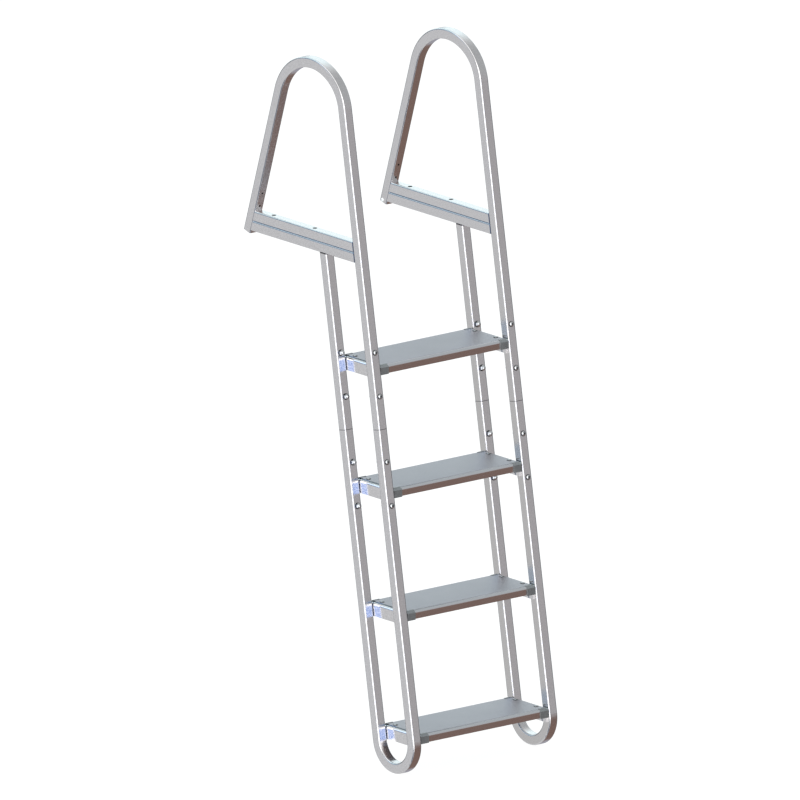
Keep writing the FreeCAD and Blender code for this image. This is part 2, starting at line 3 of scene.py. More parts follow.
import bpy
import numpy as np
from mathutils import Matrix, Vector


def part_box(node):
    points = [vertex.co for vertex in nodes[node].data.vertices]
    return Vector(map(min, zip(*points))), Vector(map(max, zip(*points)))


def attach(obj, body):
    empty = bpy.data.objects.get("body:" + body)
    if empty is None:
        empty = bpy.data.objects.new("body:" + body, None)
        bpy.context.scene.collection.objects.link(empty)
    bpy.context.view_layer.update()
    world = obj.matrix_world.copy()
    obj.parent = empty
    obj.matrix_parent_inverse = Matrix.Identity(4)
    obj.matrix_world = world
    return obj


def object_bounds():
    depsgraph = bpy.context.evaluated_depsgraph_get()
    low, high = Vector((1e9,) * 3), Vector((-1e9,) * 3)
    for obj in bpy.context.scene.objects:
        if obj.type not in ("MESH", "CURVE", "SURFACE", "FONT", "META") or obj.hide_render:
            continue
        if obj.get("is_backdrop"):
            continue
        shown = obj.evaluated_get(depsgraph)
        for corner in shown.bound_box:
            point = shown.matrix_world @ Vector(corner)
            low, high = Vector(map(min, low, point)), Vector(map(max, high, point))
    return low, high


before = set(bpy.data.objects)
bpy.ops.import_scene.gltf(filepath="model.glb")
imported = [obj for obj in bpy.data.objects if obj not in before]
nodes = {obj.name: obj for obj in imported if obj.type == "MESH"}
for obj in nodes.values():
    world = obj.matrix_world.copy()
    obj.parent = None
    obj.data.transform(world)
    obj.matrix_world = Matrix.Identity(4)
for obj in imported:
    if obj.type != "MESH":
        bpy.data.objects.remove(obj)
low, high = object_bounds()
size = {"frame_low": list(low), "frame_high": list(high)}


# The side frames: bent handle rails, rear rails and lower loops.
# They are 25 mm square aluminium tube, extruded, bent, and left with a satin skin.
# Upper and lower tubes butt at a seam, where their cut ends are lightly broken.
RIGHT, REARWARD, UP = (1, 0, 0), (0, 1, 0), (0, 0, 1)
left_low, left_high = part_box("left_rear_rail")
right_low, right_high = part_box("right_rear_rail")
bar_low, bar_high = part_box("left_deck_bar_lower")
handle_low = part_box("left_handle_rail")[0]
TUBE = left_high.x - left_low.x
SIDES = {"left": (left_low.x + left_high.x) / 2, "right": (right_low.x + right_high.x) / 2}
FRAME_HALF = (SIDES["right"] - SIDES["left"]) / 2
LEAN = math.radians(9.76)
ALONG_RAIL = np.array((0.0, math.sin(LEAN), math.cos(LEAN)))
ACROSS_RAIL = np.array((0.0, math.cos(LEAN), -math.sin(LEAN)))
# A seam's centre lies half a tube behind the foremost corner of the cut and above its lowest one.
CUT_TO_CENTRE = TUBE / 2 * np.array((0.0, math.cos(LEAN), math.sin(LEAN)))
FRONT_SEAM = np.array((0.0, handle_low.y, handle_low.z)) + CUT_TO_CENTRE
REAR_SEAM = np.array((0.0, left_low.y, left_low.z)) + CUT_TO_CENTRE
LEG_LEAN = math.radians(17.2)
ALONG_LEG = np.array((0.0, -math.sin(LEG_LEAN), math.cos(LEG_LEAN)))
ACROSS_LEG = np.array((0.0, math.cos(LEG_LEAN), math.sin(LEG_LEAN)))
# The foot's centre lies below the deck, on the line half a tube behind the bars' rear ends.
TOE_DROP = 0.0035
leg_at_deck = bar_high.y + TUBE / 2 / math.cos(LEG_LEAN)
LEG_FOOT = np.array((0.0, leg_at_deck + TOE_DROP * math.tan(LEG_LEAN), -TOE_DROP))
LEG_HOLES, LEG_HOLE_RADIUS = (0.0729, 0.1074), 0.0026
LEG_BORE_END = 0.30
SKIN, MARGIN = 0.0012, 0.0001
BORE_HALF = TUBE / 2 - SKIN
# Each line is full up to the first distance from its middle and gone at the second.
SEAM_LINE, UNDER_BAR_SHADOW_LINE = (0.00035, 0.00105), (0.00105, 0.00175)
SEAM_DEPTH = 3.0
# Noise gathers round a half, so tones and roughnesses run over the middle of its range only.
TONE_RANGE, ROUGH_RANGE = (0.35, 0.65), (0.3, 0.7)
SPECKLE = (520.0, 2.0)
DRAWN_LINES, DRAWN_STRETCH, DRAWN_SHARE = (60.0, 3.0), (12.0, 12.0, 1.0), 0.25
SATIN_TONES = (0.775, 0.76, 0.765, 1.0), (0.97, 0.95, 0.955, 1.0)
SATIN_ROUGH, SATIN_RELIEF = (0.16, 0.24), (0.05, 0.0002)
# Bore walls and hole walls are a dull black: painted shade inside the tubes.
BORE_SHADE_COLOUR, BORE_SHADE_SHINE = (0.012, 0.012, 0.013, 1.0), 0.1
# The seams are dark joint lines deepened with painted shade. The line under the deck bar is a
# painted shadow.
SEAM_SHADE_COLOUR = (0.20, 0.19, 0.20, 1.0)
# Thin dark lines of painted reflection along the rounded edges, by the sideways and upward
# parts of the surface's direction. They stand for what the real tube mirrors there.
EDGE_REFLECTION_COLOUR, END_REFLECTION_COLOUR = (0.25, 0.25, 0.255, 1.0), (0.42, 0.42, 0.43, 1.0)
UPPER_EDGE_STARTS, UPPER_EDGE_ENDS, UPPER_EDGE_RISES = (0.98, 0.96), (0.82, 0.86), (0.12, 0.22)
FRONT_EDGE_STARTS, FRONT_EDGE_ENDS = (0.08, 0.14), (0.34, 0.28)
# A darker tone of painted shade on the right frame's lower sides, matched to the photograph:
# a card's light comes from one direction for both frames, so it can't tell them apart.
SIDE_SHADE_TONE, SIDE_SHADE_SHARE = (0.735, 0.71, 0.69, 1.0), 0.75
SIDE_SHADE_FROM, SIDE_SHADE_TO, FLAT_SIDE = 0.1, -0.35, 0.98


def new_finish(name):
    """A material with its Principled shader only: the material, its node tree and the shader."""
    material = bpy.data.materials.new(name)
    material.use_nodes = True
    tree = material.node_tree
    return material, tree, tree.nodes["Principled BSDF"]


def grain(tree, scale, detail, stretch=(1.0, 1.0, 1.0), turn=0.0):
    """Noise in the piece's own coordinates, turned about X and stretched: its value socket."""
    place = tree.nodes.new("ShaderNodeTexCoord")
    mapping = tree.nodes.new("ShaderNodeMapping")
    mapping.inputs["Scale"].default_value = stretch
    mapping.inputs["Rotation"].default_value = (turn, 0.0, 0.0)
    noise = tree.nodes.new("ShaderNodeTexNoise")
    noise.inputs["Scale"].default_value = scale
    noise.inputs["Detail"].default_value = detail
    tree.links.new(place.outputs["Object"], mapping.inputs["Vector"])
    tree.links.new(mapping.outputs["Vector"], noise.inputs["Vector"])
    return noise.outputs["Fac"]


def arithmetic(tree, kind, *terms):
    """One Math node over numbers and sockets."""
    node = tree.nodes.new("ShaderNodeMath")
    node.operation = kind
    for socket, term in zip(node.inputs, terms):
        if isinstance(term, (int, float)):
            socket.default_value = term
        else:
            tree.links.new(term, socket)
    return node.outputs[0]


def times(tree, first, *others):
    """Product of numbers and sockets."""
    for other in others:
        first = arithmetic(tree, "MULTIPLY", first, other)
    return first


def blended(tree, share, first, second):
    """first * (1 - share) + second * share, each a number or a socket."""
    rest = arithmetic(tree, "SUBTRACT", 1.0, share)
    return arithmetic(tree, "ADD", times(tree, first, rest), times(tree, second, share))


def spread(tree, value, range_in, range_out=(0.0, 1.0)):
    """Moves a value from one range to another, with its ends held."""
    node = tree.nodes.new("ShaderNodeMapRange")
    for end, limit in zip(("From Min", "From Max", "To Min", "To Max"), (*range_in, *range_out)):
        node.inputs[end].default_value = limit
    tree.links.new(value, node.inputs["Value"])
    return node.outputs["Result"]


def thin_line(tree, distance, limits):
    """1 where a distance is within the first limit, falling to 0 at the second."""
    return spread(tree, arithmetic(tree, "ABSOLUTE", distance), limits, (1.0, 0.0))


def two_tone(tree, share, first, second):
    """Colour between two tones or colour sockets, by a share from 0 to 1."""
    node = tree.nodes.new("ShaderNodeMix")
    node.data_type = "RGBA"
    tree.links.new(share, node.inputs["Factor"])
    for socket, tone in ((node.inputs[6], first), (node.inputs[7], second)):
        if isinstance(tone, tuple):
            socket.default_value = tone
        else:
            tree.links.new(tone, socket)
    return node.outputs[2]


def relief(tree, shader, height, strength, distance):
    """Bump from a height socket into a shader's normal."""
    bump = tree.nodes.new("ShaderNodeBump")
    bump.inputs["Strength"].default_value = strength
    bump.inputs["Distance"].default_value = distance
    tree.links.new(height, bump.inputs["Height"])
    tree.links.new(bump.outputs["Normal"], shader.inputs["Normal"])


def mottled(tree, noise, tones):
    """Colour that runs from a darker to a lighter tone with a noise."""
    return two_tone(tree, spread(tree, noise, TONE_RANGE), *tones)


def facing(tree, direction="True Normal"):
    """The X, Y and Z parts of the way that the surface faces."""
    geometry = tree.nodes.new("ShaderNodeNewGeometry")
    parts = tree.nodes.new("ShaderNodeSeparateXYZ")
    tree.links.new(geometry.outputs[direction], parts.inputs["Vector"])
    return parts.outputs


def reach(tree, direction, origin=(0.0, 0.0, 0.0)):
    """Distance of each point along a direction from an origin, in the piece's own coordinates."""
    place = tree.nodes.new("ShaderNodeTexCoord")
    dot = tree.nodes.new("ShaderNodeVectorMath")
    dot.operation = "DOT_PRODUCT"
    dot.inputs[1].default_value = tuple(direction)
    tree.links.new(place.outputs["Object"], dot.inputs[0])
    return arithmetic(tree, "SUBTRACT", dot.outputs["Value"], float(np.dot(direction, origin)))


def from_frame(tree):
    """Distance of each point, level, from the middle plane of the nearer side frame."""
    from_middle = arithmetic(tree, "ABSOLUTE", reach(tree, RIGHT, (FRAME_HALF, 0.0, 0.0)))
    return arithmetic(tree, "ABSOLUTE", arithmetic(tree, "SUBTRACT", from_middle, FRAME_HALF))


def in_hole(tree, wide, along, radius):
    """1 within a radius of a hole's axis, from the two distances across it."""
    square = arithmetic(tree, "ADD", times(tree, wide, wide), times(tree, along, along))
    return arithmetic(tree, "LESS_THAN", square, radius ** 2)


def on_rail(tree, seam):
    """1 within a tube's width of the line of the rail that a seam lies in."""
    across = arithmetic(tree, "ABSOLUTE", reach(tree, ACROSS_RAIL, seam))
    return arithmetic(tree, "LESS_THAN", across, TUBE)


def seam_shade_mask(tree):
    """1 on the seams' dark joint lines, deepened with painted shade, and on the painted shadow at
    the rear rail's top under the deck bar.
    """
    under_bar = thin_line(tree, reach(tree, UP), UNDER_BAR_SHADOW_LINE)
    mask = times(tree, under_bar, on_rail(tree, REAR_SEAM))
    for seam in (FRONT_SEAM, REAR_SEAM):
        line = thin_line(tree, reach(tree, ALONG_RAIL, seam), SEAM_LINE)
        mask = arithmetic(tree, "MAXIMUM", mask, times(tree, line, on_rail(tree, seam)))
    return mask


def painted_edge_reflections(tree):
    """1 along the start of each rounded upper edge, and 1 along the end of each rounded front
    edge, both from the surface's own direction: where the painted reflections lie."""
    faces = facing(tree)
    sideways = arithmetic(tree, "ABSOLUTE", faces["X"])
    upper = times(tree, spread(tree, faces["Z"], UPPER_EDGE_RISES),
                  spread(tree, sideways, UPPER_EDGE_STARTS),
                  spread(tree, sideways, UPPER_EDGE_ENDS))
    front = times(tree, spread(tree, sideways, FRONT_EDGE_STARTS),
                  spread(tree, sideways, FRONT_EDGE_ENDS))
    return upper, front


def painted_side_shade(tree):
    """Share of a painted shade on the flat sides of the right frame's lower tubes, growing
    downwards."""
    sideways = arithmetic(tree, "ABSOLUTE", facing(tree)["X"])
    flat = arithmetic(tree, "GREATER_THAN", sideways, FLAT_SIDE)
    right = arithmetic(tree, "GREATER_THAN", reach(tree, RIGHT, (FRAME_HALF, 0.0, 0.0)), 0.0)
    lower = spread(tree, reach(tree, UP), (SIDE_SHADE_FROM, SIDE_SHADE_TO), (0.0, SIDE_SHADE_SHARE))
    return times(tree, lower, flat, right)


def leg_bore_shade(tree):
    """1 on the bore walls of the rear legs and on the walls of their two small holes, which are
    painted black as shade.
    """
    wide = from_frame(tree)
    deep = arithmetic(tree, "ABSOLUTE", reach(tree, ACROSS_LEG, LEG_FOOT))
    dark = arithmetic(tree, "LESS_THAN", arithmetic(tree, "MAXIMUM", deep, wide), BORE_HALF)
    for start in LEG_HOLES:
        along = reach(tree, ALONG_LEG, LEG_FOOT + start * ALONG_LEG)
        dark = arithmetic(tree, "MAXIMUM", dark, in_hole(tree, wide, along, LEG_HOLE_RADIUS))
    in_leg = arithmetic(tree, "LESS_THAN", deep, TUBE / 2 + MARGIN)
    over_deck = arithmetic(tree, "GREATER_THAN", reach(tree, UP), -TUBE)
    below_arch = arithmetic(tree, "LESS_THAN", reach(tree, ALONG_LEG, LEG_FOOT), LEG_BORE_END)
    return times(tree, dark, in_leg, over_deck, below_arch)


def satin_skin(tree, shader, tone, noise, bore):
    """Satin metal of a given tone, and a dull black of painted shade where the bore mask is 1."""
    tree.links.new(two_tone(tree, bore, tone, BORE_SHADE_COLOUR), shader.inputs["Base Color"])
    rough = arithmetic(tree, "MAXIMUM", bore, spread(tree, noise, ROUGH_RANGE, SATIN_ROUGH))
    tree.links.new(rough, shader.inputs["Roughness"])
    tree.links.new(arithmetic(tree, "SUBTRACT", 1.0, bore), shader.inputs["Metallic"])
    shader.inputs["Specular IOR Level"].default_value = BORE_SHADE_SHINE


def satin_tube():
    """Satin extruded aluminium: fine speckle, faint drawn lines along the rails, dark butt seams
    deepened with painted shade, a painted shadow under the deck bar, painted shade in the leg
    bores, painted reflections along the rounded edges and painted shade on the right frame's lower
    sides."""
    material, tree, shader = new_finish("satin_tube")
    speckle = grain(tree, *SPECKLE)
    drawn = grain(tree, *DRAWN_LINES, DRAWN_STRETCH, LEAN)
    noise = blended(tree, DRAWN_SHARE, speckle, drawn)
    seam = seam_shade_mask(tree)
    upper, front = painted_edge_reflections(tree)
    # Painted shade on the right frame's lower sides.
    tone = two_tone(tree, painted_side_shade(tree), mottled(tree, noise, SATIN_TONES), SIDE_SHADE_TONE)
    # Painted reflections along the rounded upper and front edges.
    tone = two_tone(tree, upper, two_tone(tree, front, tone, END_REFLECTION_COLOUR), EDGE_REFLECTION_COLOUR)
    # Painted shade at the seams, under the deck bar and in the leg bores.
    satin_skin(tree, shader, two_tone(tree, seam, tone, SEAM_SHADE_COLOUR), noise, leg_bore_shade(tree))
    height = arithmetic(tree, "SUBTRACT", speckle, times(tree, seam, SEAM_DEPTH))
    relief(tree, shader, height, *SATIN_RELIEF)
    return material


def dress(node, finish):
    """Gives a CAD node its finish."""
    node.data.materials.clear()
    node.data.materials.append(finish)


tube_finish = satin_tube()
for side in SIDES:
    for part in ("handle_rail", "rear_rail", "lower_loop"):
        dress(nodes[f"{side}_{part}"], tube_finish)


# The deck bars: two straight tubes laid one on the other, mitred to the front rail and the leg.
# Same satin tube, with painted shade in the groove between the two bars, a blue-grey line of
# painted shade where each meets the rail, and a dark bore of painted shade behind the bolt holes.
RAIL_FACE = np.array((0.0, bar_low.y, 0.0))
JOINT_SHADE_LINE, GROOVE_SHADE_LINE = (0.0008, 0.0016), (0.0009, 0.0018)
JOINT_SHADE_COLOUR, GROOVE_SHADE_COLOUR = (0.28, 0.34, 0.45, 1.0), (0.53, 0.55, 0.61, 1.0)
# The deck-bolt holes lie this far before and behind the frame's origin. Their dark is painted
# shade, and it reaches 1.6 mm past their edges, because the holes alone look too faint from low
# angles.
BOLT_REACH, BOLT_HOLE_SHADE_RADIUS = 0.07675, 0.0056


def satin_bar():
    """The tube's satin skin with painted shade at its joint, groove, bore and bolt holes, and
    painted reflections along its upper edges.
    """
    material, tree, shader = new_finish("satin_bar")
    speckle = grain(tree, *SPECKLE)
    wide = from_frame(tree)
    from_groove = arithmetic(tree, "ABSOLUTE", arithmetic(tree, "SUBTRACT", reach(tree, UP), TUBE))
    from_axis = arithmetic(tree, "ABSOLUTE", arithmetic(tree, "SUBTRACT", from_groove, TUBE / 2))
    from_centre = arithmetic(tree, "ABSOLUTE", reach(tree, REARWARD))
    from_bolt = arithmetic(tree, "SUBTRACT", from_centre, BOLT_REACH)
    # The bore and a disc round each deck-bolt hole are painted black as shade.
    bolt = in_hole(tree, wide, from_bolt, BOLT_HOLE_SHADE_RADIUS)
    bore = arithmetic(tree, "LESS_THAN", arithmetic(tree, "MAXIMUM", wide, from_axis), BORE_HALF)
    # Painted reflections along the upper edges, then painted shade in the groove and at the joint.
    tone = two_tone(tree, painted_edge_reflections(tree)[0], mottled(tree, speckle, SATIN_TONES), EDGE_REFLECTION_COLOUR)
    tone = two_tone(tree, thin_line(tree, from_groove, GROOVE_SHADE_LINE), tone, GROOVE_SHADE_COLOUR)
    joint = thin_line(tree, reach(tree, ACROSS_RAIL, RAIL_FACE), JOINT_SHADE_LINE)
    tone = two_tone(tree, joint, tone, JOINT_SHADE_COLOUR)
    satin_skin(tree, shader, tone, speckle, arithmetic(tree, "MAXIMUM", bore, bolt))
    relief(tree, shader, speckle, *SATIN_RELIEF)
    return material


bar_finish = satin_bar()
for side in SIDES:
    for part in ("deck_bar_upper", "deck_bar_lower"):
        dress(nodes[f"{side}_{part}"], bar_finish)


# The splice sleeves: plain inner tubes that hold an upper and a lower tube in line.
# They are mill-finish aluminium, pushed into both tubes and bolted through.
MILL_TONES = (0.50, 0.50, 0.52, 1.0), (0.62, 0.62, 0.63, 1.0)
MILL_LINES, MILL_STRETCH = (90.0, 4.0), (10.0, 10.0, 1.0)
MILL_ROUGH, MILL_RELIEF = (0.34, 0.5), (0.2, 0.0002)


def mill_sleeve():
    """Dull mill aluminium with long drawing lines."""
    material, tree, shader = new_finish("mill_sleeve")
    lines = grain(tree, *MILL_LINES, MILL_STRETCH, LEAN)
    tree.links.new(mottled(tree, lines, MILL_TONES), shader.inputs["Base Color"])
    tree.links.new(spread(tree, lines, ROUGH_RANGE, MILL_ROUGH), shader.inputs["Roughness"])
    shader.inputs["Metallic"].default_value = 1.0
    relief(tree, shader, lines, *MILL_RELIEF)
    return material


sleeve_finish = mill_sleeve()
for side in SIDES:
    for end in ("front", "rear"):
        dress(nodes[f"{side}_{end}_sleeve"], sleeve_finish)


# The splice bolts: four through each rail, with a button head and a hexagon socket on the
# outside and a dome nut between the rails. Bolts and nuts are polished stainless steel on
# dark washers, with a painted shade on their right-hand sides, matched to the photograph.
SPLICE_STEPS = (0.1845, 0.079, -0.079, -0.1845)
# Distances along a bolt start at the tube's face. The socket's lip and the ring where the
# head's dome stops are shares of the socket's flat.
HEAD_RADIUS, HEAD_HEIGHT, HEAD_SKIRT, HEAD_RINGS = 0.0057, 0.0044, 0.0004, 14
SOCKET_FLAT, SOCKET_DEPTH, SOCKET_LIP, SOCKET_RIM = 0.0026, 0.0020, 1.18, 1.25
SHANK_RADIUS, SHANK_PAST = 0.0030, 0.001
NUT_FLAT, NUT_TOP, NUT_BREAK, NUT_HEIGHT = 0.0060, 0.0068, 0.0006, 0.0108
# How far each ring of a profile is hexagonal: 1 for fully, 0 for round.
SOCKET_HEXED, NUT_HEXED = (1, 1), (1, 1, 0.5)
DOME_RADIUS, DOME_RINGS, DOME_CLOSES = 0.0052, 9, 0.97
WASHER_THICKNESS, WASHER_BREAK, WASHER_EDGE = 0.0014, 0.0004, 0.7
HEAD_WASHER, NUT_WASHER = 0.0069, 0.0079
TURN_SIDES, SHARP_FROM, NEARLY_ALONG = 36, math.radians(35), 0.9
STEEL_MARKS, STEEL_ROUGH = (900.0, 2.0), (0.07, 0.13)
STEEL_TONES = (0.74, 0.76, 0.77, 1.0), (0.90, 0.91, 0.91, 1.0)
STEEL_SHADE_TONE, STEEL_SHADE_TURNS = (0.045, 0.052, 0.055, 1.0), (0.12, 0.42)
WASHER_MARKS, WASHER_ROUGH = (700.0, 3.0), (0.4, 0.6)
WASHER_TONES = (0.020, 0.022, 0.024, 1.0), (0.045, 0.047, 0.05, 1.0)


def hexagon(angle):
    """Distance from the centre to a hexagon with unit flats: 1 / cos of the angle from the
    middle of the nearest flat."""
    return 1.0 / np.cos((angle + math.pi / 6) % (math.pi / 3) - math.pi / 6)


def turned(name, profile, places, axis, hexed=None):
    """Pieces turned about one axis, all in one mesh. With a profile of heights t and radii r,
    point (i, j) of a piece is place + t[i] * axis + r[i] * (1 + h[i] * (hexagon(a[j]) - 1))
    * (cos a[j], sin a[j]) across the axis, where h is 0 for a round stretch and 1 for a
    hexagonal one. The two ends close in a point."""
    t, r = np.array(profile, float).T
    axis = np.array(axis, float)
    level = np.array(RIGHT if abs(axis[0]) < NEARLY_ALONG else REARWARD, float)
    upright = np.cross(axis, level)
    upright /= np.linalg.norm(upright)
    level = np.cross(upright, axis)
    angle = np.arange(TURN_SIDES) * 2 * math.pi / TURN_SIDES
    h = np.zeros(len(t)) if hexed is None else np.array(hexed, float)
    radius = r[:, None] * (1 + h[:, None] * (hexagon(angle)[None, :] - 1))
    spoke = np.cos(angle)[:, None] * level + np.sin(angle)[:, None] * upright
    rings = t[:, None, None] * axis + radius[:, :, None] * spoke
    one = np.concatenate([rings.reshape(-1, 3), [t[0] * axis], [t[-1] * axis]])

    j = np.arange(TURN_SIDES)
    k = (j + 1) % TURN_SIDES
    base = (np.arange(len(t) - 1) * TURN_SIDES)[:, None]
    quads = np.stack([base + j, base + k, base + k + TURN_SIDES, base + j + TURN_SIDES], -1)
    last = (len(t) - 1) * TURN_SIDES
    start_fan = np.stack([np.full_like(j, len(one) - 2), k, j], -1)
    end_fan = np.stack([np.full_like(j, len(one) - 1), last + j, last + k], -1)
    faces = []
    for number in range(len(places)):
        shift = number * len(one)
        for part in (quads.reshape(-1, 4), start_fan, end_fan):
            faces += (part + shift).tolist()

    verts = np.concatenate([one + np.array(place) for place in places])
    mesh = bpy.data.meshes.new(name)
    mesh.from_pydata(verts.tolist(), [], faces)
    mesh.update()
    mesh.shade_smooth()
    mesh.set_sharp_from_angle(angle=SHARP_FROM)
    piece = bpy.data.objects.new(name, mesh)
    bpy.context.scene.collection.objects.link(piece)
    return piece


def dome(foot, top, radius, rings=DOME_RINGS):
    """Quarter-round from the full radius at the foot to nearly nothing at the top: for an angle
    a, the height is foot + (top - foot) * sin a and the radius is radius * cos a."""
    a = np.linspace(0.0, math.pi / 2 * DOME_CLOSES, rings)
    return [(foot + (top - foot) * math.sin(x), radius * math.cos(x)) for x in a]


def washer(radius, thickness, edge, edge_break, hole):
    """Flat washer with a broken outer edge that starts at a share of its thickness."""
    return [(0.0, radius), (thickness * edge, radius),
            (thickness, radius - edge_break), (thickness, hole)]


def bright_steel():
    """Polished stainless steel with very fine turning marks, and painted shade on the sides that
    face right.
    """
    material, tree, shader = new_finish("bright_steel")
    marks = grain(tree, *STEEL_MARKS)
    # Painted shade on the sides that face right.
    right_shade = spread(tree, facing(tree, "Normal")["X"], STEEL_SHADE_TURNS)
    tone = two_tone(tree, right_shade, mottled(tree, marks, STEEL_TONES), STEEL_SHADE_TONE)
    tree.links.new(tone, shader.inputs["Base Color"])
    tree.links.new(spread(tree, marks, ROUGH_RANGE, STEEL_ROUGH), shader.inputs["Roughness"])
    shader.inputs["Metallic"].default_value = 1.0
    return material


def plain_finish(name, marks, tones, roughness, metallic):
    """A small part's finish: fine marks that run between two tones and two roughnesses."""
    material, tree, shader = new_finish(name)
    noise = grain(tree, *marks)
    tree.links.new(mottled(tree, noise, tones), shader.inputs["Base Color"])
    tree.links.new(spread(tree, noise, ROUGH_RANGE, roughness), shader.inputs["Roughness"])
    shader.inputs["Metallic"].default_value = metallic
    return material


steel_finish = bright_steel()
# This finish colours the real dark washers and also the sockets, where it is painted shade.
washer_and_socket_shade_finish = plain_finish("dark_washer_and_socket_shade", WASHER_MARKS, WASHER_TONES, WASHER_ROUGH, 0.0)
head_dome = dome(WASHER_THICKNESS + HEAD_SKIRT, HEAD_HEIGHT, HEAD_RADIUS, HEAD_RINGS)
head_profile = [(-TUBE - SHANK_PAST, SHANK_RADIUS), (WASHER_THICKNESS, SHANK_RADIUS),
                (WASHER_THICKNESS, HEAD_RADIUS)]
head_profile += [point for point in head_dome if point[1] > SOCKET_FLAT * SOCKET_RIM]
head_profile += [(HEAD_HEIGHT - MARGIN, SOCKET_FLAT * SOCKET_LIP)]
# The socket is a dark hexagon flush with the head: painted shade in place of the recess.
socket_shade_profile = [(HEAD_HEIGHT - SOCKET_DEPTH, SOCKET_FLAT), (HEAD_HEIGHT, SOCKET_FLAT)]
nut_profile = [(WASHER_THICKNESS, NUT_FLAT), (NUT_TOP - NUT_BREAK, NUT_FLAT),
               (NUT_TOP, NUT_FLAT - NUT_BREAK)]
dome_profile = [(WASHER_THICKNESS, DOME_RADIUS), (NUT_TOP, DOME_RADIUS)]
dome_profile += dome(NUT_TOP + MARGIN, NUT_HEIGHT, DOME_RADIUS)
head_washer, nut_washer = (washer(radius, WASHER_THICKNESS, WASHER_EDGE, WASHER_BREAK, SHANK_RADIUS)
                           for radius in (HEAD_WASHER, NUT_WASHER))
for side, across in SIDES.items():
    for end, seam, outwards in (("front", FRONT_SEAM, -1.0), ("rear", REAR_SEAM, 1.0)):
        middle = [np.array((across, 0, 0)) + seam + step * ALONG_RAIL for step in SPLICE_STEPS]
        out = outwards * ACROSS_RAIL
        outer = [point + out * TUBE / 2 for point in middle]
        inner = [point - out * TUBE / 2 for point in middle]
        bolts = turned(f"{side}_{end}_bolts", head_profile, outer, out)
        sockets = turned(f"{side}_{end}_bolt_socket_shades", socket_shade_profile, outer, out, SOCKET_HEXED)
        nuts = turned(f"{side}_{end}_hexagon_nuts", nut_profile, inner, -out, NUT_HEXED)
        domes = turned(f"{side}_{end}_nut_domes", dome_profile, inner, -out)
        outer_washers = turned(f"{side}_{end}_head_washers", head_washer, outer, out)
        inner_washers = turned(f"{side}_{end}_nut_washers", nut_washer, inner, -out)
        for piece, finish in ((bolts, steel_finish), (domes, steel_finish), (nuts, steel_finish),
                              (sockets, washer_and_socket_shade_finish), (outer_washers, washer_and_socket_shade_finish),
                              (inner_washers, washer_and_socket_shade_finish)):
            piece.data.materials.append(finish)
            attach(piece, "root")


# The treads: folded aluminium sheet with rounded long edges and turned-down lips.
# The tops carry a fine anti-slip texture, and the lips stay smoother.
STEPS = (1, 2, 3, 4)
GRIT, CLOUD, CLOUD_SHARE = (700.0, 2.0), (14.0, 2.0), 0.2
TREAD_TONES = (0.390, 0.378, 0.406, 1.0), (0.472, 0.455, 0.482, 1.0)
# The rounded nose's lighter, bluer tone is a painted highlight. The undersides and cut ends are
# darker with painted shade.
LIP_TONE, NOSE_HIGHLIGHT_TONE = (0.86, 0.82, 0.81, 1.0), (0.90, 0.93, 0.96, 1.0)
CUT_END_SHADE_TONE, UNDERSIDE_SHADE_TONE = (0.28, 0.33, 0.36, 1.0), (0.40, 0.50, 0.60, 1.0)
# Faces are told apart by the upward part of their direction, and cut ends by the sideways one.
LEVEL_FACE, UPRIGHT_FACE, UNDER_FACE, CUT_FACE = (0.80, 0.975), (0.20, 0.05), (-0.5, -0.8), 0.9
TREAD_ROUGH, LIP_ROUGH, TREAD_RELIEF = (0.40, 0.52), 0.17, (0.25, 0.0003)
GRIT_MIDDLE = 0.5


def grit_tread():
    """Fine even grit on level faces, satin metal on the lips, a painted highlight on the rounded
    nose and painted shade on the undersides and cut ends.
    """
    material, tree, shader = new_finish("grit_tread")
    grit = grain(tree, *GRIT)
    top_tone = mottled(tree, blended(tree, CLOUD_SHARE, grit, grain(tree, *CLOUD)), TREAD_TONES)
    faces = facing(tree)
    level = spread(tree, faces["Z"], LEVEL_FACE)
    edge = two_tone(tree, spread(tree, faces["Z"], UPRIGHT_FACE), NOSE_HIGHLIGHT_TONE, LIP_TONE)
    tone = two_tone(tree, level, edge, top_tone)
    tone = two_tone(tree, spread(tree, faces["Z"], UNDER_FACE), tone, UNDERSIDE_SHADE_TONE)
    cut_end = arithmetic(tree, "GREATER_THAN", arithmetic(tree, "ABSOLUTE", faces["X"]), CUT_FACE)
    tree.links.new(two_tone(tree, cut_end, tone, CUT_END_SHADE_TONE), shader.inputs["Base Color"])
    rough = blended(tree, level, LIP_ROUGH, spread(tree, grit, ROUGH_RANGE, TREAD_ROUGH))
    tree.links.new(rough, shader.inputs["Roughness"])
    shader.inputs["Metallic"].default_value = 1.0
    height = times(tree, arithmetic(tree, "SUBTRACT", grit, GRIT_MIDDLE), level)
    relief(tree, shader, height, *TREAD_RELIEF)
    return material


tread_finish = grit_tread()
for step in STEPS:
    dress(nodes[f"step_{step}_tread"], tread_finish)


# The side angles: bent aluminium angles that join each tread to the four rails.
# Same satin metal as the tubes, without seams, with a dark line of painted shade where they
# meet the rails.
# The joint lines' dark blue is painted shade.
ANGLE_JOINT_SHADE_LINE, ANGLE_JOINT_SHADE_COLOUR = (0.0011, 0.0022), (0.12, 0.16, 0.25, 1.0)
ANGLE_ROUGH, ANGLE_RELIEF = (0.10, 0.16), (0.02, 0.0002)


